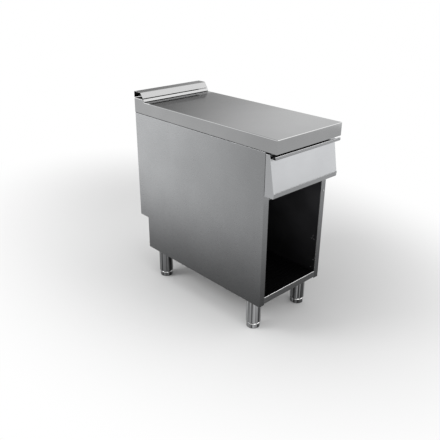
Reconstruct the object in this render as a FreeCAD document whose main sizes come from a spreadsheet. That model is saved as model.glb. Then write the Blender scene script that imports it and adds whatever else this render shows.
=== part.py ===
"""Stainless steel counter module: worktop with rear flue cover, one drawer, open cupboard, four levelling legs.

Frame: origin on the floor under the middle of the worktop, +X to the right, +Y to the back, +Z up.
Lengths are millimetres.  Every driving size is one cell of the spreadsheet, and every formula below is
written with the plain names of those cells.
"""
import FreeCAD, Part
import math
import os
import re
import Sketcher

SIZES = {
    # Whole module
    "overall_width": 400,
    "overall_depth": 900,
    "worktop_height": 900,
    "leg_height": 150,
    # Worktop pan
    "worktop_sheet": 2,
    "apron_height": 58,
    "apron_return": 16,
    "worktop_edge": 3.5,
    "front_overhang": 55,
    "rear_overhang": 4,
    "seat_rise": 12,
    "seat_depth": 63,
    "seat_run": 14,
    "seat_bend": 16,
    "stiffener_sheet": 1.5,
    "stiffener_drop": 30,
    "stiffener_crown": 50,
    "stiffener_foot": 22,
    "stiffener_front_inset": 135,
    "stiffener_rear_inset": 225,
    "stiffener_end_gap": 12,
    # Flue cover and its upstand
    "cover_sheet": 1.5,
    "cover_rise": 42,
    "cover_back_inset": 2,
    "cover_back_leg": 28,
    "cover_top_depth": 48,
    "cover_slope_run": 20,
    "cover_slope_drop": 25,
    "cover_nose_bend": 5,
    "upstand_sheet": 1.2,
    "upstand_toe_inset": 78,
    "upstand_toe_gap": 3,
    "upstand_run": 8.5,
    "upstand_shelf": 24,
    "bracket_sheet": 2,
    "bracket_inset": 55,
    "bracket_flange": 18,
    "bracket_length": 26,
    "bracket_back_gap": 10,
    # Cabinet walls
    "side_sheet": 1.5,
    "wall_thickness": 30,
    "side_bend": 1,
    "side_return": 34,
    "side_bottom_flange": 10,
    "side_rear_flange": 22,
    "liner_sheet": 1,
    "liner_rear_flange": 16,
    "recess_depth": 62,
    "recess_height": 165,
    "back_sheet": 1.2,
    "back_joint_flange": 20,
    "panel_clearance": 0.5,
    "cupboard_back_gap": 24,
    # Base frame and cupboard floor
    "base_gap": 5,
    "base_lip": 31,
    "base_return": 14,
    "shelf_sheet": 1.2,
    "shelf_bend": 0.8,
    "channel_sheet": 2,
    "channel_bend": 1,
    "channel_width": 86,
    "channel_front_gap": 3,
    "channel_rear_gap": 3,
    "crossmember_width": 40,
    "crossmember_lap": 26,
    # Drawer bay and top rails
    "bay_floor_rise": 1,
    "bay_lip": 25,
    "top_rail_depth": 40,
    "top_rail_drop": 20,
    # Legs and levelling feet
    "leg_side_inset": 48,
    "front_leg_inset": 132,
    "rear_leg_inset": 138,
    "leg_diameter": 68,
    "leg_wall": 2,
    "plate_width": 86,
    "plate_sheet": 4,
    "bolt_spacing": 60,
    "insert_height": 22,
    "foot_diameter": 62.5,
    "foot_height": 29.7,
    "foot_gap": 0.3,
    "foot_shoulder": 5,
    "foot_neck_height": 4,
    "foot_neck_inset": 5,
    "foot_heel": 2,
    "stem_diameter": 16,
    "stem_clearance": 0.05,
    "stem_length": 74,
    # Telescopic slides
    "slide_height": 45,
    "slide_depth": 12.7,
    "slide_length": 550,
    "slide_sheet": 1.5,
    "slide_thin_sheet": 1.2,
    "slide_gap": 0.3,
    "slide_web_gap": 0.8,
    "slide_bend": 0.4,
    "slide_flange": 9,
    "slide_rise": 61,
    "slide_front_gap": 3,
    # Drawer
    "drawer_sheet": 1.2,
    "drawer_length": 560,
    "drawer_floor_gap": 16,
    "drawer_wall_height": 120,
    "drawer_hem": 8,
    "front_gap": 2,
    "front_sheet": 1.5,
    "front_bend": 1.5,
    "front_top_drop": 5,
    "front_top_reach": 19.1,
    "front_face_height": 151,
    "front_lip_reach": 49,
    "front_lip_setback": 3,
    "front_lip_height": 22,
    "front_lip_taper": 3,
    "front_lip_return": 22,
    "front_lip_hook": 12,
    "backing_rise": 20,
    "backing_clearance": 0.3,
    "rail_sheet": 1.5,
    "rail_reach": 53,
    "rail_gap": 7,
    "rail_front_height": 15,
    "rail_bend": 5,
    "rail_hem": 4.5,
    "rail_hem_depth": 8,
    "bumper_radius": 5,
    "bumper_gap": 0.3,
    "bumper_inset": 20,
    # Fasteners and holes
    "hole_clearance": 0.2,
    "bolt_radius": 4,
    "bolt_head_radius": 6.5,
    "bolt_head_height": 4.8,
    "nut_height": 6.5,
    "screw_radius": 2,
    "screw_head_radius": 4,
    "screw_head_height": 2,
    "screw_length": 8,
    "back_screw_inset": 25,
    "worktop_screw_inset": 110,
    "flange_screw_height": 437,
    "drawer_screw_spread": 240,
    "drawer_screw_inset": 25,
    "hinge_hole_radius": 2.1,
    "hinge_top_depth": 20,
    "hinge_top_height": 214,
    "hinge_pair_depth": 22,
    "hinge_pair_spacing": 12,
    "hinge_pair_height": 198,
    "hinge_low_depth": 10,
    "hinge_low_height": 93,
    "hinge_foot_depth": 23,
    "hinge_foot_height": 51,
}

document = FreeCAD.newDocument("counter_module")
sheet = document.addObject("Spreadsheet::Sheet", "Sizes")


def fill_sheet():
    """Write each driving size as text and give its cell the size's name."""
    for row, (name, size) in enumerate(SIZES.items(), start=1):
        sheet.set(f"A{row}", name)
        sheet.set(f"B{row}", str(size))
        sheet.setAlias(f"B{row}", name)
    document.recompute()


def formula(text):
    """Write plain size names as addresses in the spreadsheet."""
    return re.sub(r"[a-z][a-z_]+", lambda word: address(word.group()), text)


def address(word):
    return "Sizes." + word if word in SIZES else word


def number(text):
    """The present value of a formula."""
    return float(sheet.evalExpression(formula(text)))


# --- Shared construction steps -------------------------------------------------------------------------

PLANES = {"X": "YZ_Plane", "Y": "XZ_Plane", "Z": "XY_Plane"}
CROSS_AXES = {"X": ("y", "z"), "Y": ("x", "z"), "Z": ("x", "y")}
MATCH = 0.001


def new_body(name):
    """An empty body whose label is the sub-part's name."""
    body = document.addObject("PartDesign::Body", name)
    body.Label = name
    return body


def add_sketch(body, axis, loops, level):
    """Sketch closed loops across an axis of the body, at a level along that axis.

    A loop is a list of (across, up) formulas, or a circle as the tuple (across, up, radius).
    """
    sketch = body.newObject("Sketcher::SketchObject", body.Name + "_sketch")
    plane = next(item for item in body.Origin.OriginFeatures if item.Role == PLANES[axis])
    sketch.AttachmentSupport = [(plane, "")]
    sketch.MapMode = "FlatFace"
    lift = f"-({level})" if axis == "Y" else level
    sketch.setExpression("AttachmentOffset.Base.z", formula(lift))
    for loop in loops:
        if isinstance(loop, tuple):
            add_circle(sketch, *loop)
        else:
            add_polygon(sketch, loop)
    return sketch


def place_point(sketch, geometry, vertex, across, up):
    """Tie one point of the sketch to two formulas, measured from the sketch's origin."""
    for kind, text in (("DistanceX", across), ("DistanceY", up)):
        constraint = sketch.addConstraint(
            Sketcher.Constraint(kind, -1, 1, geometry, vertex, number(text)))
        sketch.setExpression(f"Constraints[{constraint}]", formula(text))


def add_polygon(sketch, corners):
    points = [FreeCAD.Vector(number(across), number(up), 0) for across, up in corners]
    first = sketch.GeometryCount
    count = len(points)
    for index in range(count):
        sketch.addGeometry(Part.LineSegment(points[index], points[(index + 1) % count]))
    for index in range(count):
        following = first + (index + 1) % count
        sketch.addConstraint(Sketcher.Constraint("Coincident", first + index, 2, following, 1))
    for index, (across, up) in enumerate(corners):
        place_point(sketch, first + index, 1, across, up)


def add_circle(sketch, across, up, radius):
    centre = FreeCAD.Vector(number(across), number(up), 0)
    upward = FreeCAD.Vector(0, 0, 1)
    circle = sketch.addGeometry(Part.Circle(centre, upward, number(radius)))
    place_point(sketch, circle, 3, across, up)
    constraint = sketch.addConstraint(Sketcher.Constraint("Radius", circle, number(radius)))
    sketch.setExpression(f"Constraints[{constraint}]", formula(radius))


def prism(body, axis, loops, start, end):
    """Pad the loops from start to end along the axis."""
    level = end if axis == "Y" else start
    pad = body.newObject("PartDesign::Pad", body.Name + "_pad")
    sketch = add_sketch(body, axis, loops, level)
    pad.Profile = sketch
    pad.setExpression("Length", formula(f"({end}) - ({start})"))
    body.Tip = pad
    document.recompute()
    return pad


def cut(body, axis, loops, start, end):
    """Pocket the loops from start to end along the axis, and insist that metal comes away."""
    volume = body.Shape.Volume
    level = start if axis == "Y" else end
    sketch = add_sketch(body, axis, loops, level)
    pocket = body.newObject("PartDesign::Pocket", body.Name + "_pocket")
    pocket.Profile = sketch
    pocket.setExpression("Length", formula(f"({end}) - ({start})"))
    body.Tip = pocket
    document.recompute()
    if body.Shape.Volume > volume - MATCH:
        raise RuntimeError(f"a pocket in {body.Label} removes nothing")
    return pocket


def drill(body, axis, places, start, end):
    """Screw holes through one sheet."""
    cut(body, axis, [(across, up, "screw_radius + hole_clearance") for across, up in places], start, end)


def own_places(side, places):
    """Those of the places that lie on one side of the module."""
    return [place for place in places if number(place[0]) * side > 0]


def edges_along(shape, axis, corners):
    """Names of the straight edges that run along the axis through the given corners."""
    first, second = CROSS_AXES[axis]
    places = [(number(across), number(up)) for across, up in corners]
    names = []
    for index, edge in enumerate(shape.Edges, start=1):
        ends = [vertex.Point for vertex in edge.Vertexes]
        for across, up in places:
            inside = [abs(getattr(end, first) - across) < MATCH and abs(getattr(end, second) - up) < MATCH
                      for end in ends]
            if len(ends) == 2 and all(inside):
                names.append(f"Edge{index}")
                break
    return names


def round_edges(body, axis, corners, radius):
    """Fillet the edges that run along the axis through the given corners."""
    document.recompute()
    base = body.Tip
    names = edges_along(base.Shape, axis, corners)
    if not names:
        raise RuntimeError(f"{body.Label} has no edge to round")
    fillet = body.newObject("PartDesign::Fillet", body.Name + "_fillet")
    fillet.Base = (base, names)
    fillet.setExpression("Radius", formula(radius))
    body.Tip = fillet
    document.recompute()
    return fillet


def heading(start, end):
    """Direction of a path's segment, as a formula in degrees."""
    return f"atan2(({end[1]}) - ({start[1]}); ({end[0]}) - ({start[0]}))"


def set_off(path, gauge, side):
    """The path moved sideways by a gauge: to its left where side is 1, to its right where it is -1."""
    headings = [heading(path[index], path[index + 1]) for index in range(len(path) - 1)]
    moved = []
    for index, (across, up) in enumerate(path):
        before = headings[max(index - 1, 0)]
        after = headings[min(index, len(headings) - 1)]
        share = f"{side} * {gauge} / (1 + cos({before} - {after}))"
        moved.append((f"{across} - {share} * (sin({before}) + sin({after}))",
                      f"{up} + {share} * (cos({before}) + cos({after}))"))
    return moved


def turn(path, index):
    """Sine of the turn that a path makes at one of its inner points; left is positive."""
    (ax, ay), (bx, by), (cx, cy) = [(number(a), number(u)) for a, u in path[index - 1:index + 2]]
    cross = (bx - ax) * (cy - by) - (by - ay) * (cx - bx)
    return cross / (math.hypot(bx - ax, by - ay) * math.hypot(cx - bx, cy - by))


def folded(body, axis, path, gauge, side, start, end, bend):
    """Pad a sheet folded along a path, with round bends of the given inner radius."""
    offset = set_off(path, gauge, side)
    prism(body, axis, [path + offset[::-1]], start, end)
    inner = []
    outer = []
    for index in range(1, len(path) - 1):
        sheet_inside = turn(path, index) * side > 0
        inner.append(offset[index] if sheet_inside else path[index])
        outer.append(path[index] if sheet_inside else offset[index])
    round_edges(body, axis, inner, bend)
    round_edges(body, axis, outer, f"{bend} + {gauge}")


def rectangle(left, right, low, high):
    return [(left, low), (right, low), (right, high), (left, high)]


def mirrored(side, loop):
    """The same loop on the left (-1) or right (1) of the module."""
    return [(f"{side} * ({across})", up) for across, up in loop]


def span(side, near, far):
    """Start and end along X of a piece between two distances from the middle plane."""
    if side > 0:
        return near, far
    return f"-({far})", f"-({near})"


SIDES = {"left": -1, "right": 1}

# --- Places that several pieces share ------------------------------------------------------------------

half_width = "(overall_width / 2)"
top_front = "(-overall_depth / 2)"
top_back = "(overall_depth / 2)"
body_front = "(front_overhang - overall_depth / 2)"
body_back = "(overall_depth / 2 - rear_overhang)"
body_top = "(worktop_height - apron_height)"
worktop_underside = "(worktop_height - worktop_sheet)"
seat_top = "(worktop_height + seat_rise)"
seat_crest = "(overall_depth / 2 - seat_depth)"
seat_toe = "(overall_depth / 2 - seat_depth - seat_run)"
skin_inside = "(overall_width / 2 - side_sheet)"
wall_inside = "(overall_width / 2 - wall_thickness)"
liner_outside = "(overall_width / 2 - wall_thickness + liner_sheet)"
flange_back = "(front_overhang - overall_depth / 2 + side_sheet)"
recess_wall = "(overall_depth / 2 - rear_overhang - recess_depth)"
recess_top = "(leg_height + recess_height)"
base_bottom = "(leg_height + base_gap)"
shelf_top = "(leg_height + base_gap + base_lip)"
shelf_underside = "(leg_height + base_gap + base_lip - shelf_sheet)"
cupboard_back = "(overall_depth / 2 - rear_overhang - recess_depth - cupboard_back_gap)"
front_top = "(worktop_height - apron_height - front_top_drop)"
lip_top = "(worktop_height - apron_height - front_top_drop - front_face_height)"
front_bottom = "(worktop_height - apron_height - front_top_drop - front_face_height - front_lip_height)"
bay_floor = f"({front_bottom} + bay_floor_rise)"
bay_underside = f"({front_bottom} + bay_floor_rise - shelf_sheet)"
drawer_low = f"({bay_floor} + drawer_floor_gap)"
drawer_high = f"({bay_floor} + drawer_floor_gap + drawer_wall_height)"


# --- Worktop ---------------------------------------------------------------------------------------------

def make_worktop():
    """Pressed pan with aprons all round, returned inwards below, and a raised seat for the flue cover."""
    body = new_body("worktop")
    profile = [(top_front, body_top), (top_back, body_top), (top_back, seat_top), (seat_crest, seat_top),
               (seat_toe, "worktop_height"), (top_front, "worktop_height")]
    prism(body, "X", [profile], f"-{half_width}", half_width)
    round_edges(body, "X", [(seat_crest, seat_top), (seat_toe, "worktop_height")], "seat_bend")
    round_rims(body)
    mouth_side = f"{half_width} - apron_return"
    mouth = rectangle(f"-({mouth_side})", mouth_side, f"{top_front} + apron_return",
                      f"{top_back} - apron_return")
    cut(body, "Z", [mouth], body_top, f"{body_top} + worktop_sheet")
    hollow = [(f"{top_front} + worktop_sheet", f"{body_top} + worktop_sheet"),
              (f"{top_back} - worktop_sheet", f"{body_top} + worktop_sheet"),
              (f"{top_back} - worktop_sheet", f"{seat_top} - worktop_sheet"),
              (f"{seat_crest} + worktop_sheet", f"{seat_top} - worktop_sheet"),
              (f"{seat_toe} + worktop_sheet", worktop_underside),
              (f"{top_front} + worktop_sheet", worktop_underside)]
    hollow_side = f"{half_width} - worktop_sheet"
    cut(body, "X", [hollow], f"-({hollow_side})", hollow_side)
    drill(body, "Z", worktop_screw_places(), body_top, f"{body_top} + worktop_sheet")
    drill(body, "Z", bracket_screw_places(), f"{seat_top} - worktop_sheet", seat_top)


def worktop_screw_places():
    """Screws from the side panels' top flanges up into the worktop's turned edge, as (across, along)."""
    reach = "(overall_depth / 2 - worktop_screw_inset)"
    return [(f"{side} * ({half_width} - apron_return / 2)", f"{row} * {reach}")
            for side in SIDES.values() for row in (-1, 0, 1)]


def round_rims(body):
    """Round the pan's outer bends: the rims of the top and of the aprons, and the welded corners."""
    base = body.Tip
    half = number(half_width)
    front, back = number(top_front), number(top_back)
    names = []
    for index, edge in enumerate(base.Shape.Edges, start=1):
        points = [edge.valueAt(edge.FirstParameter), edge.valueAt(edge.LastParameter)]
        low = min(point.z for point in points)
        high = max(point.z for point in points)
        upright = abs(points[0].z - points[1].z) > number("apron_height") - MATCH
        on_side = all(abs(abs(point.x) - half) < MATCH for point in points)
        on_front = all(abs(point.y - front) < MATCH for point in points)
        on_back = all(abs(point.y - back) < MATCH for point in points)
        level = low > number("worktop_height") - MATCH or high < number(body_top) + MATCH
        on_rim = level and (on_side or on_front or on_back)
        if on_rim or (upright and on_side and (on_front or on_back)):
            names.append(f"Edge{index}")
    fillet = body.newObject("PartDesign::Fillet", "worktop_rims")
    fillet.Base = (base, names)
    fillet.setExpression("Radius", formula("worktop_edge"))
    body.Tip = fillet
    document.recompute()


def make_stiffeners():
    """Three hat channels that stand across the module against the underside of the worktop."""
    reach = f"{half_width} - worktop_sheet - stiffener_end_gap"
    foremost = f"({top_front} + stiffener_front_inset)"
    rearmost = f"({top_back} - stiffener_rear_inset)"
    centres = {"front": foremost, "middle": f"({foremost} + {rearmost}) / 2", "rear": rearmost}
    for name, centre in centres.items():
        crown = "stiffener_crown / 2"
        low = f"{worktop_underside} - stiffener_drop"
        path = [(f"{centre} - {crown} - stiffener_foot", worktop_underside),
                (f"{centre} - {crown}", worktop_underside), (f"{centre} - {crown}", low),
                (f"{centre} + {crown}", low), (f"{centre} + {crown}", worktop_underside),
                (f"{centre} + {crown} + stiffener_foot", worktop_underside)]
        body = new_body("worktop_stiffener_" + name)
        folded(body, "X", path, "stiffener_sheet", -1, f"-({reach})", reach, "side_bend")


# --- Flue cover ------------------------------------------------------------------------------------------

cover_back = "(overall_depth / 2 - cover_back_inset)"
cover_top = "(worktop_height + cover_rise)"
cover_ceiling = "(worktop_height + cover_rise - cover_sheet)"
cover_nose = "(overall_depth / 2 - cover_back_inset - cover_top_depth)"
upstand_toe = "(overall_depth / 2 - upstand_toe_inset)"


def make_flue_cover():
    """Bent cover, open at both ends and along the lower back, that closes the rear of the worktop."""
    path = [(cover_back, f"{cover_top} - cover_back_leg"), (cover_back, cover_top), (cover_nose, cover_top),
            (f"{cover_nose} - cover_slope_run", f"{cover_top} - cover_slope_drop")]
    offset = set_off(path, "cover_sheet", 1)
    body = new_body("flue_cover")
    prism(body, "X", [path + offset[::-1]], f"-{half_width}", half_width)
    round_edges(body, "X", [path[1]], "side_bend + cover_sheet")
    round_edges(body, "X", [offset[1]], "side_bend")
    round_edges(body, "X", [path[2]], "cover_nose_bend + cover_sheet")
    round_edges(body, "X", [offset[2]], "cover_nose_bend")


def make_flue_upstand():
    """Front strip under the cover: its foot hovers over the worktop and its shelf lies on the seat."""
    brow = f"{seat_top} + upstand_sheet"
    path = [(upstand_toe, "worktop_height + upstand_toe_gap"), (f"{upstand_toe} + upstand_run", brow),
            (f"{upstand_toe} + upstand_run + upstand_shelf", brow)]
    body = new_body("flue_upstand")
    folded(body, "X", path, "upstand_sheet", -1, f"-{half_width}", half_width, "side_bend")


bracket_web = "(overall_width / 2 - bracket_inset)"


def bracket_screw_places():
    """Screws through the feet of the two cover brackets, as (across, along)."""
    return [(f"{side} * ({bracket_web} + bracket_flange / 2)",
             f"{cover_back} - bracket_back_gap - bracket_length / 2") for side in SIDES.values()]


def make_flue_brackets():
    """Two channel brackets that stand on the worktop's seat and carry the cover."""
    for name, side in SIDES.items():
        flange_end = f"{bracket_web} + bracket_flange"
        path = [(flange_end, seat_top), (bracket_web, seat_top), (bracket_web, cover_ceiling),
                (flange_end, cover_ceiling)]
        body = new_body("flue_bracket_" + name)
        back = f"{cover_back} - bracket_back_gap"
        folded(body, "Y", mirrored(side, path), "bracket_sheet", -side, f"{back} - bracket_length", back,
               "side_bend")
        drill(body, "Z", own_places(side, bracket_screw_places()), seat_top, f"{seat_top} + bracket_sheet")


# --- Cabinet walls ---------------------------------------------------------------------------------------

flange_screw_place = ("(overall_width / 2 - wall_thickness / 2)", "leg_height + flange_screw_height")


def make_side_panels():
    """Outer skins: a flange and a return at the front, turned edges, and a step for pipes at the rear."""
    for name, side in SIDES.items():
        body = new_body("side_panel_" + name)
        outline = [(body_front, "leg_height"), (recess_wall, "leg_height"), (recess_wall, recess_top),
                   (body_back, recess_top), (body_back, body_top), (body_front, body_top)]
        prism(body, "X", [outline], *span(side, skin_inside, half_width))
        front_flange = rectangle(wall_inside, half_width, "leg_height", body_top)
        prism(body, "Y", [mirrored(side, front_flange)], body_front, flange_back)
        lip_end = f"{body_front} + side_return"
        lip = rectangle(flange_back, lip_end, f"{shelf_underside} + side_bend", body_top)
        prism(body, "X", [lip], *span(side, liner_outside, f"{liner_outside} + side_sheet"))
        upper = rectangle(flange_back, body_back, f"{body_top} - side_sheet", body_top)
        prism(body, "X", [upper], *span(side, liner_outside, skin_inside))
        lower = rectangle(flange_back, recess_wall, "leg_height", "leg_height + side_sheet")
        prism(body, "X", [lower], *span(side, f"{half_width} - side_bottom_flange", skin_inside))
        flange_edge = f"{half_width} - side_rear_flange"
        rear_upper = rectangle(f"{body_back} - side_sheet", body_back, recess_top, body_top)
        prism(body, "X", [rear_upper], *span(side, flange_edge, skin_inside))
        rear_lower = rectangle(f"{recess_wall} - side_sheet", recess_wall, "leg_height", recess_top)
        prism(body, "X", [rear_lower], *span(side, flange_edge, skin_inside))
        ledge = rectangle(f"{recess_wall} - side_sheet", body_back, recess_top, f"{recess_top} + side_sheet")
        prism(body, "X", [ledge], *span(side, flange_edge, skin_inside))
        cut(body, "X", hinge_hole_circles(), *span(side, liner_outside, f"{liner_outside} + side_sheet"))
        drill(body, "Y", own_places(side, back_screw_places()), f"{body_back} - side_sheet", body_back)
        drill(body, "Z", own_places(side, worktop_screw_places()), f"{body_top} - side_sheet", body_top)
        round_edges(body, "Y", [(f"{side} * {half_width}", body_top)], "side_bend + side_sheet")
        round_edges(body, "Z", [(f"{side} * {half_width}", body_front)], "side_bend + side_sheet")
        round_edges(body, "X", [(f"{recess_wall} - side_sheet", f"{recess_top} + side_sheet")], "side_bend")
        if side > 0:
            drill(body, "Y", [flange_screw_place], body_front, flange_back)


def hinge_hole_circles():
    """Holes for a door's hinge plates, close behind the front edge of an inner wall."""
    places = [("hinge_top_depth", "hinge_top_height"),
              ("hinge_pair_depth - hinge_pair_spacing / 2", "hinge_pair_height"),
              ("hinge_pair_depth + hinge_pair_spacing / 2", "hinge_pair_height"),
              ("hinge_low_depth", "hinge_low_height"),
              ("hinge_foot_depth", "hinge_foot_height")]
    return [(f"{body_front} + {depth}", f"leg_height + {height}", "hinge_hole_radius")
            for depth, height in places]


def make_liners():
    """Flat inner skins of the two walls, pierced with the door-hinge holes."""
    for name, side in SIDES.items():
        body = new_body("inner_liner_" + name)
        skin = rectangle(flange_back, f"{cupboard_back} + liner_rear_flange", shelf_underside, body_top)
        prism(body, "X", [skin], *span(side, wall_inside, liner_outside))
        cut(body, "X", hinge_hole_circles(), *span(side, wall_inside, liner_outside))


back_panel_face = "(overall_depth / 2 - rear_overhang - side_sheet - back_sheet)"


def make_back_panels():
    """Outer back in two sheets: a flat upper one, and a stepped lower one round the pipe recess."""
    reach = f"{skin_inside} - panel_clearance"
    upper = new_body("back_panel")
    flat = rectangle(back_panel_face, f"{body_back} - side_sheet",
                     f"{recess_top} + side_sheet + panel_clearance",
                     f"{body_top} - side_sheet - panel_clearance")
    prism(upper, "X", [flat], f"-({reach})", reach)
    drill(upper, "Y", back_screw_places(), back_panel_face, f"{body_back} - side_sheet")
    wall = f"{recess_wall} - side_sheet"
    shelf = f"{recess_top} + side_sheet"
    path = [(wall, "leg_height + side_sheet"), (wall, shelf), (back_panel_face, shelf),
            (back_panel_face, f"{shelf} + back_joint_flange")]
    lower = new_body("recess_panel")
    folded(lower, "X", path, "back_sheet", 1, f"-({reach})", reach, "side_bend")


def back_screw_places():
    """Screws through the side panels' rear flanges, as (across, height)."""
    low = f"{recess_top} + back_joint_flange + back_screw_inset"
    high = f"{body_top} - back_screw_inset"
    heights = [low, f"(({low}) + ({high})) / 2", high]
    return [(f"{side} * ({half_width} - side_rear_flange / 2)", height)
            for side in SIDES.values() for height in heights]


def make_cupboard_back():
    """Rear wall of the cupboard, with its two side edges turned back along the liners."""
    body = new_body("cupboard_back")
    front = f"{cupboard_back} - liner_sheet"
    back = f"{cupboard_back} + liner_rear_flange"
    path = [(f"-{wall_inside}", back), (f"-{wall_inside}", front), (wall_inside, front), (wall_inside, back)]
    folded(body, "Z", path, "liner_sheet", 1, shelf_top, bay_underside, "shelf_bend")


# --- Base frame, cupboard floor and drawer bay -----------------------------------------------------------

plate_top = "(leg_height + base_gap + plate_sheet)"


def leg_centres(side):
    """Centres of the front and rear leg on one side of the module."""
    across = f"{side} * (overall_width / 2 - leg_side_inset)"
    return {"front": (across, f"{top_front} + front_leg_inset"),
            "rear": (across, f"{top_back} - rear_leg_inset")}


def bolt_places(centre):
    """The four bolt centres of one leg plate."""
    return [(f"{centre[0]} + {across} * bolt_spacing / 2", f"{centre[1]} + {along} * bolt_spacing / 2")
            for across in (-1, 1) for along in (-1, 1)]


def make_base_channels():
    """Two channels, open towards the middle, that carry the cupboard floor and take the legs below."""
    for name, side in SIDES.items():
        body = new_body("base_channel_" + name)
        inner = f"{skin_inside} - channel_width"
        path = [(inner, plate_top), (skin_inside, plate_top), (skin_inside, shelf_underside),
                (inner, shelf_underside)]
        start = f"{body_front} + side_return + channel_front_gap"
        end = f"{recess_wall} - side_sheet - back_sheet - channel_rear_gap"
        folded(body, "Y", mirrored(side, path), "channel_sheet", side, start, end, "channel_bend")
        holes = [(across, along, "bolt_radius + hole_clearance")
                 for centre in leg_centres(side).values() for across, along in bolt_places(centre)]
        cut(body, "Z", holes, plate_top, f"{plate_top} + channel_sheet")


def make_crossmembers():
    """Channels between the base channels, in line with the legs."""
    low = f"{plate_top} + channel_sheet"
    high = f"{shelf_underside} - channel_sheet"
    reach = f"{skin_inside} - channel_width + crossmember_lap"
    for name, (across, along) in leg_centres(1).items():
        body = new_body("base_crossmember_" + name)
        edge = f"{along} + crossmember_width / 2"
        start = f"{along} - crossmember_width / 2"
        path = [(edge, high), (start, high), (start, low), (edge, low)]
        folded(body, "X", path, "channel_sheet", 1, f"-({reach})", reach, "channel_bend")


def make_cupboard_floor():
    """Floor pan with a deep front lip that is returned inwards."""
    body = new_body("cupboard_floor")
    path = [(f"{body_front} + base_return", base_bottom), (body_front, base_bottom),
            (body_front, shelf_top), (cupboard_back, shelf_top)]
    folded(body, "X", path, "shelf_sheet", -1, f"-{wall_inside}", wall_inside, "shelf_bend")


def make_bay_floor():
    """Sheet that divides the drawer bay from the cupboard, with a lip across the front."""
    body = new_body("drawer_bay_floor")
    path = [(body_front, f"{bay_floor} - bay_lip"), (body_front, bay_floor), (cupboard_back, bay_floor)]
    folded(body, "X", path, "shelf_sheet", -1, f"-{wall_inside}", wall_inside, "shelf_bend")


def make_top_rails():
    """Angles that tie the walls together under the worktop, at the front and at the back."""
    low = f"{body_top} - top_rail_drop"
    front = new_body("top_rail_front")
    path = [(flange_back, low), (flange_back, body_top), (f"{flange_back} + top_rail_depth", body_top)]
    folded(front, "X", path, "side_sheet", -1, f"-{wall_inside}", wall_inside, "side_bend")
    rear = new_body("top_rail_rear")
    path = [(back_panel_face, low), (back_panel_face, body_top),
            (f"{back_panel_face} - top_rail_depth", body_top)]
    folded(rear, "X", path, "side_sheet", 1, f"-{liner_outside}", liner_outside, "side_bend")


# --- Legs ------------------------------------------------------------------------------------------------

def make_leg(place, centre):
    """Bolted plate, tube, threaded insert and levelling foot of one leg."""
    across, along = centre
    tube_end = "(foot_height + foot_gap)"
    bore = "stem_diameter / 2 + stem_clearance"
    tube_inside = "leg_diameter / 2 - leg_wall"
    half = "plate_width / 2"

    plate = new_body("leg_plate_" + place)
    square = rectangle(f"{across} - {half}", f"{across} + {half}", f"{along} - {half}", f"{along} + {half}")
    holes = [(x, y, "bolt_radius + hole_clearance") for x, y in bolt_places(centre)]
    prism(plate, "Z", [square] + holes, base_bottom, plate_top)

    tube = new_body("leg_tube_" + place)
    walls = [(across, along, "leg_diameter / 2"), (across, along, tube_inside)]
    prism(tube, "Z", walls, tube_end, base_bottom)

    insert = new_body("leg_insert_" + place)
    walls = [(across, along, tube_inside), (across, along, bore)]
    prism(insert, "Z", walls, tube_end, f"{tube_end} + insert_height")

    foot = new_body("levelling_foot_" + place)
    shoulder = "(foot_height - foot_neck_height)"
    prism(foot, "Z", [(across, along, "foot_diameter / 2")], "0", shoulder)
    finish_rim(foot, "Fillet", "Radius", shoulder, "foot_shoulder")
    finish_rim(foot, "Chamfer", "Size", "0", "foot_heel")
    prism(foot, "Z", [(across, along, "foot_diameter / 2 - foot_neck_inset")], shoulder, "foot_height")
    prism(foot, "Z", [(across, along, "stem_diameter / 2")], "foot_height", "foot_height + stem_length")


def finish_rim(body, kind, measure, level, size):
    """Round or chamfer the circular edge that lies at a height."""
    base = body.Tip
    height = number(level)
    names = [f"Edge{index}" for index, edge in enumerate(base.Shape.Edges, start=1)
             if edge.Closed and abs(edge.BoundBox.ZMax - height) < MATCH
             and abs(edge.BoundBox.ZMin - height) < MATCH]
    finished = body.newObject("PartDesign::" + kind, body.Name + "_rim")
    finished.Base = (base, names)
    finished.setExpression(measure, formula(size))
    body.Tip = finished
    document.recompute()


def make_legs():
    for side_name, side in SIDES.items():
        for end_name, centre in leg_centres(side).items():
            make_leg(f"{end_name}_{side_name}", centre)


# --- Telescopic slides -----------------------------------------------------------------------------------

slide_front = "(front_overhang - overall_depth / 2 + slide_front_gap)"


def channel_path(tips, web, half_height):
    """C section from tip to web to tip, as (distance from the middle plane, height)."""
    low = f"{drawer_low} + slide_rise - {half_height}"
    high = f"{drawer_low} + slide_rise + {half_height}"
    return [(tips, low), (web, low), (web, high), (tips, high)]


def make_slides():
    """Outer, middle and inner members of the two full-extension slides, nested in one another."""
    outer_half = "(slide_height / 2)"
    middle_half = "(slide_height / 2 - slide_sheet - slide_gap)"
    inner_half = "(slide_height / 2 - slide_sheet - slide_thin_sheet - 2 * slide_gap)"
    middle_web = f"{wall_inside} - slide_sheet - slide_web_gap"
    inner_web = f"{wall_inside} - slide_depth"
    inner_tip = f"{middle_web} - slide_thin_sheet - slide_web_gap"
    members = {
        "outer": (f"{wall_inside} - slide_flange", wall_inside, outer_half, "slide_sheet", 1),
        "middle": (f"{middle_web} - slide_flange + slide_web_gap", middle_web, middle_half,
                   "slide_thin_sheet", 1),
        "inner": (inner_tip, inner_web, inner_half, "slide_thin_sheet", -1),
    }
    for name, side in SIDES.items():
        for member, (tips, web, half_height, gauge, opening) in members.items():
            body = new_body(f"slide_{member}_{name}")
            path = mirrored(side, channel_path(tips, web, half_height))
            folded(body, "Y", path, gauge, side * opening, slide_front, f"{slide_front} + slide_length",
                   "slide_bend")


# --- Drawer ----------------------------------------------------------------------------------------------

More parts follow.
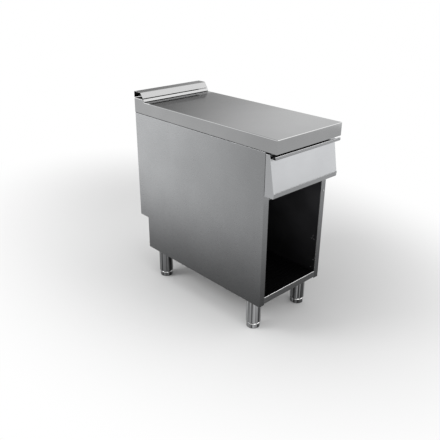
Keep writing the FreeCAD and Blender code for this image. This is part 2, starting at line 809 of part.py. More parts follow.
backing_back = "(front_overhang - overall_depth / 2 - front_gap)"
backing_front = "(front_overhang - overall_depth / 2 - front_gap - front_sheet)"
front_top_face = "(front_overhang - overall_depth / 2 - front_gap - front_top_reach)"
lip_face = "(front_overhang - overall_depth / 2 - front_gap - front_lip_reach)"
lip_crest = "(front_overhang - overall_depth / 2 - front_gap - front_lip_reach + front_lip_setback)"


def drawer_screw_places():
    """Screws that hold the drawer front to the drawer box, as (across, height)."""
    return [(f"{side} * drawer_screw_spread / 2", height) for side in SIDES.values()
            for height in (f"{drawer_low} + drawer_screw_inset", f"{drawer_high} - drawer_screw_inset")]


def make_drawer_box():
    """Open-topped pan behind the front, its top edges turned inwards."""
    reach = f"{wall_inside} - slide_depth"
    back = f"{backing_back} + drawer_length"
    box = new_body("drawer_box")
    prism(box, "Z", [rectangle(f"-({reach})", reach, backing_back, back)], drawer_low, drawer_high)
    round_edges(box, "Y", [(f"-({reach})", drawer_low), (reach, drawer_low)], "side_bend + drawer_sheet")
    inset = rectangle(f"-({reach} - drawer_hem)", f"{reach} - drawer_hem", f"{backing_back} + drawer_hem",
                      f"{back} - drawer_hem")
    cut(box, "Z", [inset], f"{drawer_high} - drawer_sheet", drawer_high)
    well = rectangle(f"-({reach} - drawer_sheet)", f"{reach} - drawer_sheet",
                     f"{backing_back} + drawer_sheet", f"{back} - drawer_sheet")
    cut(box, "Z", [well], f"{drawer_low} + drawer_sheet", f"{drawer_high} - drawer_sheet")
    drill(box, "Y", drawer_screw_places(), backing_back, f"{backing_back} + drawer_sheet")


def make_drawer_front():
    """Slanted full-width front: a tray of sheet, open behind, with a hooked lip to pull along the bottom."""
    front = new_body("drawer_front")
    lip_foot = f"({lip_face} + front_lip_taper)"
    profile = [(backing_back, front_bottom), (lip_foot, front_bottom), (lip_face, lip_top),
               (lip_crest, lip_top), (front_top_face, front_top), (backing_back, front_top)]
    prism(front, "X", [profile], f"-{half_width}", half_width)
    round_edges(front, "X", [(lip_foot, front_bottom)], "front_bend + front_sheet")
    hollow = [(backing_back, f"{front_bottom} + front_sheet"),
              (f"{lip_foot} + front_sheet", f"{front_bottom} + front_sheet"),
              (f"{lip_face} + front_sheet", f"{lip_top} - front_sheet"),
              (f"{lip_crest} + front_sheet", f"{lip_top} - front_sheet"),
              (f"{front_top_face} + front_sheet", f"{front_top} - front_sheet"),
              (backing_back, f"{front_top} - front_sheet")]
    inside = f"{half_width} - front_sheet"
    cut(front, "X", [hollow], f"-({inside})", inside)
    mouth = rectangle(f"-({inside})", inside, f"{lip_foot} + front_lip_return", backing_back)
    cut(front, "Z", [mouth], front_bottom, f"{front_bottom} + front_sheet")
    hook = rectangle(f"{lip_foot} + front_lip_return - front_sheet", f"{lip_foot} + front_lip_return",
                     front_bottom, f"{front_bottom} + front_lip_hook")
    prism(front, "X", [hook], f"-({inside})", inside)


def make_drawer_backing():
    """Flat plate that closes the back of the drawer front and takes the drawer box."""
    backing = new_body("drawer_front_backing")
    reach = f"{half_width} - front_sheet - backing_clearance"
    plate = rectangle(backing_front, backing_back, f"{front_bottom} + backing_rise",
                      f"{front_top} - front_sheet - backing_clearance")
    prism(backing, "X", [plate], f"-({reach})", reach)
    drill(backing, "Y", drawer_screw_places(), backing_front, backing_back)


def make_grip_rail():
    """Gutter-shaped rail along the top of the drawer front: foot, floor, nose and a hem along its upper edge."""
    slope = "(front_lip_reach - front_lip_setback - front_top_reach) / front_face_height"
    rail_top = f"({body_top} - rail_gap)"
    floor = f"({rail_top} - rail_front_height)"
    root = f"{front_top_face} - ({front_top} - {floor}) * {slope}"
    nose = f"{backing_back} - rail_reach + front_gap"
    hem = f"{nose} + rail_hem"
    path = [(front_top_face, front_top), (root, floor), (nose, floor), (nose, rail_top), (hem, rail_top),
            (hem, f"{rail_top} - rail_hem_depth")]
    body = new_body("grip_rail")
    offset = set_off(path, "rail_sheet", -1)
    prism(body, "X", [path + offset[::-1]], f"-{half_width}", half_width)
    round_edges(body, "X", [path[2]], "rail_bend + rail_sheet")
    round_edges(body, "X", [offset[2]], "rail_bend")
    round_edges(body, "X", [path[3]], "rail_sheet")


# --- Fasteners and small trim ----------------------------------------------------------------------------

AXES = {"X": FreeCAD.Vector(1, 0, 0), "Y": FreeCAD.Vector(0, 1, 0), "Z": FreeCAD.Vector(0, 0, 1)}


def rod(axis, place, radius, start, end):
    """Cylinder along an axis from start to end; place gives its two other coordinates."""
    across, up = number(place[0]), number(place[1])
    low = number(start)
    length = number(end) - low
    bases = {"X": (low, across, up), "Y": (across, low, up), "Z": (across, up, low)}
    direction = AXES[axis] if length > 0 else AXES[axis].negative()
    return Part.makeCylinder(number(radius), abs(length), FreeCAD.Vector(*bases[axis]), direction)


def hexagon(place, radius, start, end):
    """Upright hexagonal prism."""
    across, up, low = number(place[0]), number(place[1]), number(start)
    corners = [FreeCAD.Vector(across + number(radius) * math.cos(math.radians(60 * step)),
                              up + number(radius) * math.sin(math.radians(60 * step)), low)
               for step in range(7)]
    return Part.Face(Part.makePolygon(corners)).extrude(FreeCAD.Vector(0, 0, number(end) - low))


def screw(axis, place, seat, way):
    """Screw whose head stands on the seat and points the given way (1 or -1) along the axis."""
    head = rod(axis, place, "screw_head_radius", seat, f"({seat}) + {way} * screw_head_height")
    shank = rod(axis, place, "screw_radius", seat, f"({seat}) - {way} * screw_length")
    return head.fuse(shank).removeSplitter()


def fastener_group(name, solids):
    """One sub-part that holds several identical fasteners as separate solids."""
    group = document.addObject("Part::Feature", name)
    group.Label = name
    group.Shape = Part.makeCompound(solids)
    group.Placement = FreeCAD.Placement()


def make_leg_bolts():
    """Bolts and nuts through each leg plate and the base channel above it."""
    channel_floor = f"{plate_top} + channel_sheet"
    solids = []
    for side in SIDES.values():
        for centre in leg_centres(side).values():
            for place in bolt_places(centre):
                head = hexagon(place, "bolt_head_radius", f"{base_bottom} - bolt_head_height", base_bottom)
                shank = rod("Z", place, "bolt_radius", base_bottom, channel_floor)
                nut = hexagon(place, "bolt_head_radius", channel_floor, f"{channel_floor} + nut_height")
                solids.append(head.fuse([shank, nut]).removeSplitter())
    fastener_group("leg_bolts", solids)


def make_screws():
    """The pan-head screws, one sub-part for each set."""
    fastener_group("back_panel_screws",
                   [screw("Y", place, body_back, 1) for place in back_screw_places()])
    flange_underside = f"{body_top} - side_sheet"
    fastener_group("worktop_screws",
                   [screw("Z", place, flange_underside, -1) for place in worktop_screw_places()])
    bracket_seat = f"{seat_top} + bracket_sheet"
    fastener_group("flue_bracket_screws",
                   [screw("Z", place, bracket_seat, 1) for place in bracket_screw_places()])
    fastener_group("flange_screw_right", [screw("Y", flange_screw_place, body_front, -1)])
    drawer_seat = f"{backing_back} + drawer_sheet"
    fastener_group("drawer_front_screws",
                   [screw("Y", place, drawer_seat, 1) for place in drawer_screw_places()])


def make_bumpers():
    """Soft stops on the front flanges that the closed drawer front meets."""
    solids = []
    for side in SIDES.values():
        for height in (f"{front_top} - bumper_inset", f"{front_bottom} + backing_rise + bumper_inset"):
            place = (f"{side} * ({half_width} - wall_thickness / 2)", height)
            solids.append(rod("Y", place, "bumper_radius", f"{backing_back} + bumper_gap", body_front))
    fastener_group("drawer_bumpers", solids)


# --- Assembly --------------------------------------------------------------------------------------------

def check_document():
    """Stop where any object failed, or any sub-part has no sound shape."""
    for item in document.Objects:
        if "Invalid" in item.State or "Error" in item.State:
            raise RuntimeError(f"{item.Name} did not build: {item.State}")
    for item in sub_parts():
        if item.Shape.isNull() or not item.Shape.isValid() or not item.Shape.Solids:
            raise RuntimeError(f"{item.Label} has no sound shape")


def sub_parts():
    return [item for item in document.Objects if item.TypeId in ("PartDesign::Body", "Part::Feature")]


def write_parts():
    os.makedirs("parts", exist_ok=True)
    for item in sub_parts():
        item.Shape.exportStep(os.path.join("parts", item.Label + ".step"))


fill_sheet()
make_worktop()
make_stiffeners()
make_flue_cover()
make_flue_upstand()
make_flue_brackets()
make_side_panels()
make_liners()
make_back_panels()
make_cupboard_back()
make_base_channels()
make_crossmembers()
make_cupboard_floor()
make_bay_floor()
make_top_rails()
make_legs()
make_slides()
make_drawer_box()
make_drawer_front()
make_drawer_backing()
make_grip_rail()
make_leg_bolts()
make_screws()
make_bumpers()
document.recompute()
check_document()
write_parts()
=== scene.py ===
import math

import bpy
from mathutils import Matrix, Vector


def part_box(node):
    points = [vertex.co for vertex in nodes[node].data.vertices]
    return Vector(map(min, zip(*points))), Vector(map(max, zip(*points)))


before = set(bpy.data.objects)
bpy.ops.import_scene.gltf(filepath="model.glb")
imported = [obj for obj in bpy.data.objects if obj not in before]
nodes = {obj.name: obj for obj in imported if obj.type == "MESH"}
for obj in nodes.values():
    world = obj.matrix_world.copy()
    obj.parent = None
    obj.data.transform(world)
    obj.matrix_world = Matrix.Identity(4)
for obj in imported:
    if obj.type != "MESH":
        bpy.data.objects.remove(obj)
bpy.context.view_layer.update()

# --- Camera ------------------------------------------------------------------
# A normal lens more than half a metre above the worktop, looking down on the
# front left corner of the module.
IMAGE_PIXELS = 440
SENSOR_MM = 36.0
FOCAL_PIXELS = 560.34
FARTHEST = 200
EYE = Vector((-1.70992, -1.75328, 1.48541))
YAW, PITCH, ROLL = math.radians(43.216), math.radians(-24.548), math.radians(0.395)

forward = Vector((math.sin(YAW) * math.cos(PITCH), math.cos(YAW) * math.cos(PITCH), math.sin(PITCH)))
level_right = Vector((math.cos(YAW), -math.sin(YAW), 0))
level_up = level_right.cross(forward)
right = level_right * math.cos(ROLL) + level_up * math.sin(ROLL)
up = level_up * math.cos(ROLL) - level_right * math.sin(ROLL)

camera_data = bpy.data.cameras.new("camera")
camera_data.sensor_width = SENSOR_MM
camera_data.lens = FOCAL_PIXELS / IMAGE_PIXELS * SENSOR_MM
camera_data.clip_end = FARTHEST
camera = bpy.data.objects.new("camera", camera_data)
camera.matrix_world = Matrix.Translation(EYE) @ Matrix((right, up, -forward)).transposed().to_4x4()
bpy.context.scene.collection.objects.link(camera)
bpy.context.scene.camera = camera

# --- Studio: floor, surrounding light and lamps ------------------------------
# A pale matt floor that runs out to white, white walls with a dark screen behind
# on the right, and soft lamps: the main one high on the left, weaker ones above
# and all round. Shields keep the larger ones off the worktop, where they glare.
WHITE = (1, 1, 1, 1)
FLOOR_SIZE = 120.0
FLOOR_COLOUR = (0.61, 0.61, 0.61, 1)
POOL_SHAPE, POOL_CENTRE = (1, 0.7, 1), (0.3, 0.35, 0)
POOL_EDGES = (0.5, 1.5)


def new_material(name):
    """An empty node material; returns it with its node tree and its output."""
    material = bpy.data.materials.new(name)
    material.use_nodes = True
    tree = material.node_tree
    tree.nodes.clear()
    return material, tree, tree.nodes.new("ShaderNodeOutputMaterial")


def node(tree, kind, **settings):
    """Add a node; settings named as sockets are written to them, others to the node."""
    made = tree.nodes.new("ShaderNode" + kind)
    for key, value in settings.items():
        if hasattr(made, key):
            setattr(made, key, value)
        else:
            made.inputs[key.replace("_", " ")].default_value = value
    return made


def feed(tree, value, socket):
    """Set a socket to a plain value, or link another node's result to it."""
    if isinstance(value, (int, float, tuple)):
        socket.default_value = value
    else:
        tree.links.new(value, socket)


def ramp(tree, source, low, high, start=0.0, end=1.0):
    """Go smoothly from start to end while the source goes from low to high."""
    made = node(tree, "MapRange", interpolation_type="SMOOTHSTEP")
    for name, value in (("Value", source), ("From Min", low), ("From Max", high), ("To Min", start),
                        ("To Max", end)):
        feed(tree, value, made.inputs[name])
    return made.outputs["Result"]


def combine(tree, operation, first, second):
    """Join two values, either of them a plain number or a node's result, by one operation."""
    made = node(tree, "Math", operation=operation)
    feed(tree, first, made.inputs[0])
    feed(tree, second, made.inputs[1])
    return made.outputs[0]


bpy.ops.object.select_all(action="DESELECT")
bpy.ops.mesh.primitive_plane_add(size=FLOOR_SIZE)
floor = bpy.context.object
floor.name = "studio_floor"
floor_material, tree, output = new_material("studio_floor")
place = node(tree, "TexCoord")
pool = node(tree, "Mapping", Scale=POOL_SHAPE)
distance = node(tree, "VectorMath", operation="DISTANCE")
distance.inputs[1].default_value = POOL_CENTRE
rays = node(tree, "LightPath")
matt = node(tree, "BsdfDiffuse", Color=FLOOR_COLOUR)
white = node(tree, "Emission", Color=WHITE, Strength=1.0)
mix = node(tree, "MixShader")
link = tree.links.new
link(place.outputs["Object"], pool.inputs["Vector"])
link(pool.outputs["Vector"], distance.inputs[0])
seen = combine(tree, "MAXIMUM", rays.outputs["Is Camera Ray"], rays.outputs["Is Glossy Ray"])
seen = combine(tree, "MAXIMUM", seen, rays.outputs["Is Transmission Ray"])
link(combine(tree, "MULTIPLY", ramp(tree, distance.outputs["Value"], *POOL_EDGES), seen), mix.inputs["Fac"])
link(matt.outputs[0], mix.inputs[1])
link(white.outputs[0], mix.inputs[2])
link(mix.outputs[0], output.inputs["Surface"])
floor.data.materials.append(floor_material)

# The walls are white, and half as bright overhead. The screen is darkest at its foot and its left side,
# and a bright patch hangs high in front on the right. Apart from the tones, a pair of numbers is where a
# change begins and is complete: 1 is straight towards the direction, and 0 is square to it.
UPWARDS, FRONT_RIGHT, REAR_RIGHT = (0, 0, 1), (0.73, -0.68, 0), (0.68, 0.73, 0)
HIGH_FRONT_RIGHT = (0.55, -0.46, 0.70)
SCREEN_SIDES, SCREEN_FOOT = (0.80, 0.93), (0.15, 0.21)
SCREEN_FADE, SCREEN_TONES = (0.02, 0.42), (0.10, 1.05)
SCREEN_SLANT, SCREEN_LEFT = 0.9, -0.1
OVERHEAD, OVERHEAD_TONE = (0.40, 0.75), 0.5
PATCH_SIDES, PATCH_TONE = (0.86, 0.96), 0.9


def towards(tree, source, direction):
    """How far a vector points along a direction."""
    made = node(tree, "VectorMath", operation="DOT_PRODUCT")
    made.inputs[1].default_value = Vector(direction).normalized()
    tree.links.new(source, made.inputs[0])
    return made.outputs["Value"]


world = bpy.data.worlds.new("studio_light")
bpy.context.scene.world = world
world.use_nodes = True
tree = world.node_tree
tree.nodes.clear()
output = tree.nodes.new("ShaderNodeOutputWorld")
sky = node(tree, "Background", Strength=1.0)
ray = node(tree, "TexCoord").outputs["Generated"]
height = towards(tree, ray, UPWARDS)
sideways = combine(tree, "MAXIMUM", towards(tree, ray, FRONT_RIGHT), SCREEN_LEFT)
rise = combine(tree, "ADD", height, combine(tree, "MULTIPLY", sideways, SCREEN_SLANT))
behind = ramp(tree, towards(tree, ray, REAR_RIGHT), *SCREEN_SIDES)
screen = combine(tree, "MULTIPLY", behind, ramp(tree, height, *SCREEN_FOOT))
around = ramp(tree, screen, 0.0, 1.0, 1.0, ramp(tree, rise, *SCREEN_FADE, *SCREEN_TONES))
walls = combine(tree, "MULTIPLY", around, ramp(tree, height, *OVERHEAD, 1.0, OVERHEAD_TONE))
patch = ramp(tree, towards(tree, ray, HIGH_FRONT_RIGHT), *PATCH_SIDES, 0.0, PATCH_TONE)
tree.links.new(combine(tree, "ADD", walls, patch), sky.inputs["Color"])
tree.links.new(sky.outputs[0], output.inputs["Surface"])

CABINET, DRAWER_RAIL = (0, 0, 0.3), (0, -0.43, 0.75)


def softbox(name, place, aim, size, watts):
    """A soft rectangular lamp turned from its place towards a point."""
    data = bpy.data.lights.new(name, "AREA")
    data.shape = "RECTANGLE"
    data.size, data.size_y = size
    data.energy = watts
    lamp = bpy.data.objects.new(name, data)
    bpy.context.scene.collection.objects.link(lamp)
    lamp.visible_camera = False
    lamp.location = place
    lamp.rotation_euler = (Vector(aim) - Vector(place)).to_track_quat("-Z", "Y").to_euler()
    return lamp


shielded = bpy.data.collections.new("shielded_from_glare")
shielded.objects.link(nodes["worktop"])
shielded.collection_objects[0].light_linking.link_state = "EXCLUDE"
for lamp in (softbox("lamp_high_left", (-2.7, 1.7, 3.0), CABINET, (1.6, 1.6), 68),
             softbox("lamp_rear_left", (-3.0, 4.0, 1.3), (0, 0.2, 0.8), (3.0, 2.0), 37),
             softbox("lamp_above", (-0.5, 0.4, 4.0), CABINET, (2.0, 2.0), 24),
             softbox("lamp_front", (-0.9, -3.2, 2.8), CABINET, (2.0, 2.0), 31)):
    lamp.light_linking.receiver_collection = shielded
softbox("lamp_front_right", (2.2, -2.35, 0.72), DRAWER_RAIL, (1.6, 1.1), 4)

bpy.context.scene.view_settings.view_transform = "Standard"

# --- Base --------------------------------------------------------------------
# Zinc-plated channels that take the legs, under a stainless floor pan whose
# front edge is folded down into a deep lip.
STEEL = (0.33, 0.333, 0.336)
ALONG_DEPTH, ALONG_WIDTH, ALONG_HEIGHT = (1, 0.02, 1), (0.02, 1, 1), (1, 1, 0.02)
GRAIN_SCALE, GRAIN_RANGE, GRAIN_DEPTH = 900.0, (0.2, 0.8), 0.00002
CLOUD_SCALE, CLOUD_RANGE, CLOUD_TONES = 4.0, (0.25, 0.75), (0.95, 1.05)
STREAK_SCALE, STREAK_RANGE, STREAK_STRETCH = 75.0, (0.40, 0.60), (1, 1, 0.01)
BEND_RADIUS, SOFT_SAMPLES = 0.0012, 8
# Where the painted highlight on a sharp edge begins and ends, its strength, and the darkest painted shade in
# a corner.
HIGHLIGHTED_EDGE, EDGE_HIGHLIGHT, DEEPEST_SHADE = (0.995, 0.80), 0.1, 0.10

# Each pair is where a change of tone begins and where it is complete. These are places, in metres: heights
# above the floor, and distances behind the middle.
LOW_DOWN, END_TO_END, TOWARDS_REAR = (0.08, 0.64), (-0.5, 0.5), (-0.2, 0.35)
drawer_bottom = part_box("drawer_front")[0].z
worktop_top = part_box("worktop")[1].z
upstand_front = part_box("flue_upstand")[0].y
PULL_EDGE = (drawer_bottom - 0.054, drawer_bottom - 0.004)
LEDGE = (worktop_top - 0.0010, worktop_top - 0.0004)
FLUE_FOOT = (upstand_front - 0.047, upstand_front - 0.027)

# And these are turns: how far a face's normal points up, or back.
LOOKS_DOWN, UPRIGHT, ROUNDS_OFF = (-0.35, -0.05), (0.0, 0.08), (0.05, 0.30)
WALL_TO_TOP, ROUNDED_TO_TOP, ALMOST_LEVEL = (0.2, 0.5), (0.80, 0.95), (0.90, 0.98)
FACES_FRONT, LEANS_FRONT = (-0.9, -0.6), (-0.6, -0.3)
FACES_SIDE, BENDS_FRONT = (-0.35, -0.10), (-0.10, -0.40)


def noise(tree, scale, detail, roughness=0.5, stretch=(1, 1, 1)):
    """Noise that lies still on the object, drawn out along the axis on which stretch is small."""
    place = node(tree, "TexCoord")
    stretched = node(tree, "Mapping", Scale=stretch)
    made = node(tree, "TexNoise", Scale=scale, Detail=detail, Roughness=roughness)
    tree.links.new(place.outputs["Object"], stretched.inputs["Vector"])
    tree.links.new(stretched.outputs["Vector"], made.inputs["Vector"])
    return made.outputs["Fac"]


def place_on_object(tree):
    """How far back and how high a point of the object is, in metres."""
    place = node(tree, "TexCoord")
    made = node(tree, "SeparateXYZ")
    tree.links.new(place.outputs["Object"], made.inputs[0])
    return made.outputs["Y"], made.outputs["Z"]


def soft_edges(tree):
    """The normal with every edge rounded off, and how nearly it still agrees with the flat face."""
    rounded = node(tree, "Bevel", samples=SOFT_SAMPLES, Radius=BEND_RADIUS)
    flat_face = node(tree, "NewGeometry")
    agreement = node(tree, "VectorMath", operation="DOT_PRODUCT")
    tree.links.new(rounded.outputs["Normal"], agreement.inputs[0])
    tree.links.new(flat_face.outputs["Normal"], agreement.inputs[1])
    return rounded.outputs["Normal"], agreement.outputs["Value"]


def scaled(tree, colour, factor):
    """A colour times a factor."""
    made = node(tree, "VectorMath", operation="SCALE")
    feed(tree, colour, made.inputs[0])
    feed(tree, factor, made.inputs["Scale"])
    return made.outputs["Vector"]


def blended(tree, share, first, second):
    """Go from the first colour to the second as the share goes from 0 to 1."""
    made = node(tree, "Mix", data_type="RGBA")
    for name, value in (("Factor", share), ("A", first), ("B", second)):
        feed(tree, value, made.inputs[name])
    return made.outputs["Result"]


def tones(tree, turned_back, turned_up, flat=1.0, level=(0.95, 0.99), brow=1.0, under=1.0, rim=1.0, ledge=1.0,
          ground=1.0, front=1.0, rear=1.0, foot=1.0, flange=(1.0, 1.0)):
    """Painted reflection and shade: how bright a face is for its place and its turn, as factors to be
    multiplied.

    They are painted reflections of the dark and bright parts of a real room, which the steel would mirror,
    and painted shade where little light reaches.
    flat is the tone of level faces, and level where it begins and is complete. rim is that of rounded
    side rims, brow of upright faces turned to the front, under of faces that look down, and ledge of the
    raised ledge under the flue cover. ground is the tone near the floor, rear that of level faces at the
    rear end, and foot that of level faces at the flue's foot. front is the tone of upright faces at the
    front end, which at the rear end is as far on the other side of 1. flange is the pair of tones of
    faces turned to the front, below and above the drawer's lower edge.
    """
    back, height = place_on_object(tree)
    wall = ramp(tree, back, *END_TO_END, front, 2 - front)
    top = combine(tree, "MULTIPLY", ramp(tree, back, *TOWARDS_REAR, 1.0, rear),
                  ramp(tree, back, *FLUE_FOOT, 1.0, foot))
    front_face = ramp(tree, height, *PULL_EDGE, *flange)
    brow_face = ramp(tree, turned_back, *LEANS_FRONT, brow, 1.0)
    ledge_face = ramp(tree, height, *LEDGE, 1.0, ledge)
    side_rim = ramp(tree, turned_up, *ROUNDS_OFF, 1.0, ramp(tree, turned_back, *FACES_SIDE, 1.0, rim))
    return (ramp(tree, height, *LOW_DOWN, ground, 1.0),
            ramp(tree, turned_up, *WALL_TO_TOP, wall, top),
            ramp(tree, turned_back, *FACES_FRONT, front_face, 1.0),
            ramp(tree, turned_up, *level, 1.0, flat),
            ramp(tree, turned_up, *ALMOST_LEVEL, 1.0, ledge_face),
            ramp(tree, turned_up, *ROUNDED_TO_TOP, side_rim, 1.0),
            ramp(tree, turned_up, *UPRIGHT, brow_face, 1.0),
            ramp(tree, turned_up, *LOOKS_DOWN, under, 1.0))


def steel(name, colour=STEEL, roughness=0.30, spread=0.03, relief=0.02, grain=ALONG_DEPTH, streaks=0.0,
          bend_highlight=0.92, bends=(0.10, 0.55), nook=0.006, corner_shade=(0.25, 0.80), **painted_light_by_place):
    """Satin steel: fine long grain, faint clouding, painted highlights on upper bends, painted shade in
    joints.

    spread and relief are how uneven the grain is in gloss and how deep, and streaks how strong the painted
    tall streaks are that stand for a polished tube's reflections. rubbed is the tone of the painted highlight
    on upper front bends and sharp edges, and bends the upward turn of a front bend where it begins and is
    complete. nook is how far the painted shade reaches out of a joint, in metres, and grime how open a corner
    is where that shade is deepest and where it ends. painted_light_by_place holds values for tones, the
    painted reflection.
    """
    material, tree, output = new_material(name)
    normal, agreement = soft_edges(tree)
    facing = node(tree, "SeparateXYZ")
    tree.links.new(normal, facing.inputs[0])
    turned_back, turned_up = facing.outputs["Y"], facing.outputs["Z"]

    shade = ramp(tree, noise(tree, CLOUD_SCALE, detail=4.0, roughness=0.55), *CLOUD_RANGE, *CLOUD_TONES)
    # Painted reflection and painted shade, by place on the object and by the turn of each face.
    for tone in tones(tree, turned_back, turned_up, **painted_light_by_place):
        shade = combine(tree, "MULTIPLY", shade, tone)
    # Painted reflection: tall light and dark streaks, standing for what a polished tube mirrors.
    if streaks:
        tall = noise(tree, STREAK_SCALE, detail=1.5, roughness=0.6, stretch=STREAK_STRETCH)
        shade = combine(tree, "MULTIPLY", shade, ramp(tree, tall, *STREAK_RANGE, 1 - streaks, 1 + streaks))

    # Painted highlight: upper front bends and sharp edges are brightened towards one light tone.
    upper_bends = combine(tree, "MULTIPLY", ramp(tree, turned_up, *bends),
                          ramp(tree, turned_back, *BENDS_FRONT))
    edge_highlights = ramp(tree, agreement, *HIGHLIGHTED_EDGE, 0.0, EDGE_HIGHLIGHT)
    bright = blended(tree, combine(tree, "MAXIMUM", upper_bends, edge_highlights), scaled(tree, colour, shade),
                     (bend_highlight, bend_highlight, bend_highlight, 1))
    # Painted shade: ambient occlusion darkens the colour in joints, corners and recesses.
    corner = node(tree, "AmbientOcclusion", samples=SOFT_SAMPLES, Distance=nook)
    corner_shaded = scaled(tree, bright, ramp(tree, corner.outputs["AO"], *corner_shade, DEEPEST_SHADE, 1.0))

    lines = noise(tree, GRAIN_SCALE, detail=3.0, roughness=0.6, stretch=grain)
    gloss = ramp(tree, lines, *GRAIN_RANGE, roughness - spread, roughness + spread)
    bump = node(tree, "Bump", Strength=relief, Distance=GRAIN_DEPTH)
    bsdf = node(tree, "BsdfPrincipled", Metallic=1.0)
    for result, socket in ((lines, bump.inputs["Height"]), (normal, bump.inputs["Normal"]),
                           (corner_shaded, bsdf.inputs["Base Color"]), (gloss, bsdf.inputs["Roughness"]),
                           (bump.outputs["Normal"], bsdf.inputs["Normal"]),
                           (bsdf.outputs[0], output.inputs["Surface"])):
        tree.links.new(result, socket)
    return material


def finish(material, *names):
    """Give CAD nodes their material."""
    for name in names:
        slots = nodes[name].data.materials
        slots.clear()
        slots.append(material)


# Painted shade in the corners, reaching far on these inner parts, and painted highlights on upper front
# bends.
inner_steel = steel("inner_steel", colour=(0.40, 0.405, 0.41), roughness=0.38, nook=0.03, grain=ALONG_HEIGHT)
# Painted reflection: the pan darker low down and at its front, with a painted highlight along its front bend.
pan_steel = steel("pan_steel", colour=(0.33, 0.333, 0.337), roughness=0.28, bends=(0.30, 0.70), ground=0.30,
                  front=0.85, grain=ALONG_WIDTH)
finish(inner_steel, "base_channel_left", "base_channel_right", "base_crossmember_front",
       "base_crossmember_rear")
finish(pan_steel, "cupboard_floor")

# --- Legs --------------------------------------------------------------------
# Polished stainless tubes bolted on by square plates, each with a levelling
# foot that screws in and out of a threaded insert.
# Painted reflection: tall streaks, front legs brighter and rear legs darker; painted shade in corners.
leg_steel = steel("leg_steel", colour=(0.185, 0.187, 0.19), roughness=0.10, front=1.45, streaks=0.75,
                  grain=ALONG_HEIGHT)
CORNERS = ("front_left", "front_right", "rear_left", "rear_right")
for corner in CORNERS:
    finish(leg_steel, "leg_tube_" + corner, "levelling_foot_" + corner)
    finish(inner_steel, "leg_plate_" + corner, "leg_insert_" + corner)

# --- Cabinet walls -----------------------------------------------------------
# Double-skinned sides: satin outer skins folded round the front, black
# enamelled liners inside, and plain sheets across the back. Two angles join
# the sides at the top, and an enamelled sheet parts the drawer bay off.
# Painted reflection and shade: darker low, in front and below the drawer; dim rims, lit bends, shaded joints.
side_steel = steel("side_steel", colour=(0.321, 0.326, 0.332), roughness=0.28, spread=0.015, relief=0.01,
                   bend_highlight=0.50, rim=0.55, ground=0.27, front=0.73, flange=(0.84, 1.0), nook=0.010,
                   corner_shade=(0.50, 0.95), grain=ALONG_DEPTH)
finish(side_steel, "side_panel_left", "side_panel_right", "back_panel", "recess_panel", "top_rail_front",
       "top_rail_rear")
# Black enamel, and the near-white of painted glints on sharp edges and hole rims.
BLACK, GLINT_COLOUR = (0.012, 0.012, 0.013), (0.8, 0.8, 0.8, 1)
SHEEN = 0.35
PEEL_SCALE, PEEL_STRENGTH, PEEL_DEPTH = 420.0, 0.15, 0.0001
BLOTCH_SCALE, BLOTCH_TONES, BLOTCH_GLOSS = 7.0, (0.75, 1.3), 0.06
# Heights over which the painted light in the cupboard goes from darker low down to lighter up high.
UP_THE_CUPBOARD = (0.2, 0.6)
# Where a painted glint on an edge begins and is complete.
GLINTING_EDGE = (0.98, 0.85)


def enamel(name, colour=BLACK, roughness=0.42, top=1.0, foot=1.0, edge_glint=0.0):
    """Baked enamel with a faint orange-peel surface and slight variation in gloss.

    top and foot scale the colour high and low in the cupboard, as painted light and shade; bare is the tone
    of the painted glint on sharp edges and hole rims.
    """
    material, tree, output = new_material(name)
    _, agreement = soft_edges(tree)
    _, height = place_on_object(tree)
    blotches = noise(tree, BLOTCH_SCALE, detail=3.0)
    # Painted light and shade: lighter up high in the cupboard, darker low down.
    shade = combine(tree, "MULTIPLY", ramp(tree, blotches, *CLOUD_RANGE, *BLOTCH_TONES),
                    ramp(tree, height, *UP_THE_CUPBOARD, foot, top))
    # Painted glint: sharp edges and hole rims turn near-white.
    glinting = blended(tree, ramp(tree, agreement, *GLINTING_EDGE, 0.0, edge_glint), scaled(tree, colour, shade),
                   GLINT_COLOUR)
    gloss = ramp(tree, blotches, 0.0, 1.0, roughness - BLOTCH_GLOSS, roughness + BLOTCH_GLOSS)
    bump = node(tree, "Bump", Strength=PEEL_STRENGTH, Distance=PEEL_DEPTH)
    bsdf = node(tree, "BsdfPrincipled", Metallic=0.0, Specular_IOR_Level=SHEEN)
    for result, socket in ((noise(tree, PEEL_SCALE, detail=2.0), bump.inputs["Height"]),
                           (glinting, bsdf.inputs["Base Color"]), (gloss, bsdf.inputs["Roughness"]),
                           (bump.outputs["Normal"], bsdf.inputs["Normal"]),
                           (bsdf.outputs[0], output.inputs["Surface"])):
        tree.links.new(result, socket)
    return material


# Painted light and shade: much lighter high in the cupboard, darker low down, with painted glints on edges
# and hole rims.
black_enamel = enamel("black_enamel", top=3.0, foot=0.6, edge_glint=1.0)
finish(black_enamel, "inner_liner_left", "inner_liner_right", "cupboard_back", "drawer_bay_floor")
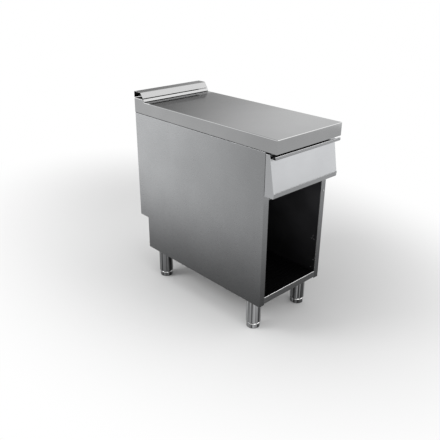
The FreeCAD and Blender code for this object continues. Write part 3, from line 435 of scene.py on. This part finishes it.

# --- Worktop -----------------------------------------------------------------
# One 2 mm stainless sheet folded down on all four sides and welded at the
# corners, with three hat stiffeners under it. It is finely brushed along its
# depth, and raised along the rear into a ledge for the flue cover.
# Painted reflection and shade: darker at the rear, brighter at the flue's foot, rims and front bends; shaded
# ledge and joints.
worktop_steel = steel("worktop_steel", roughness=0.10, bend_highlight=0.60, flat=0.94, rim=2.1, ledge=0.05,
                      front=0.90, rear=0.60, foot=3.0, nook=0.011, corner_shade=(0.50, 0.95), grain=ALONG_DEPTH)
finish(worktop_steel, "worktop", "worktop_stiffener_front", "worktop_stiffener_middle",
       "worktop_stiffener_rear")

# --- Flue cover --------------------------------------------------------------
# Bent stainless cover and upstand over the rear edge, open at both ends, on
# two folded brackets, black as painted shade inside the cover. The steel is brushed along its length.
# Painted reflection: a darker top; painted shade on the inner faces that look down or to the front; a lit
# front bend.
cover_steel = steel("cover_steel", colour=(0.43, 0.432, 0.434), roughness=0.14, bend_highlight=0.45, flat=0.29,
                    level=(0.78, 0.92), under=0.04, flange=(0.04, 0.04), nook=0.004, grain=ALONG_WIDTH)
# Only a narrow painted shade in its joints.
upstand_steel = steel("upstand_steel", colour=(0.50, 0.502, 0.504), roughness=0.14, bend_highlight=0.50,
                      nook=0.0015, grain=ALONG_WIDTH)
# Black as painted shade inside the flue cover, with faint painted glints on the edges.
bracket_painted_shade = enamel("bracket_painted_shade", edge_glint=0.1)
finish(cover_steel, "flue_cover")
finish(upstand_steel, "flue_upstand")
finish(bracket_painted_shade, "flue_bracket_left", "flue_bracket_right")

# --- Drawer ------------------------------------------------------------------
# Steel box on telescopic slides behind a slanted satin front, with a hooked
# pull along the bottom edge and a hemmed grip rail along the top.
# Painted reflection: slanted faces brighter, upright lip and rail faces darker, lit upper bends; painted
# shade in joints.
front_steel = steel("front_steel", colour=(0.355, 0.361, 0.369), roughness=0.22, bends=(0.35, 0.65), flat=2.2,
                    brow=0.76, nook=0.02, corner_shade=(0.35, 0.80), grain=ALONG_WIDTH)
rail_steel = steel("rail_steel", colour=(0.34, 0.345, 0.352), roughness=0.22, bends=(0.35, 0.65), flat=2.4,
                   brow=0.84, nook=0.02, corner_shade=(0.35, 0.80), grain=ALONG_WIDTH)
finish(front_steel, "drawer_front", "drawer_front_backing")
finish(rail_steel, "grip_rail")
finish(inner_steel, "drawer_box", *[f"slide_{member}_{side}" for member in ("outer", "middle", "inner")
                                    for side in ("left", "right")])

# --- Fasteners ---------------------------------------------------------------
# Plain stainless screws and bolts, and black rubber stops on the front edges of
# the sides, against which the drawer front closes.
# Like all the steel, with painted highlights on upper front bends and painted shade in the joints.
screw_steel = steel("screw_steel", colour=(0.5, 0.5, 0.5), roughness=0.28, grain=(1, 1, 1))
rubber = enamel("rubber", colour=(0.02, 0.02, 0.02), roughness=0.75)
finish(screw_steel, "back_panel_screws", "worktop_screws", "flue_bracket_screws", "flange_screw_right",
       "drawer_front_screws", "leg_bolts")
finish(rubber, "drawer_bumpers")
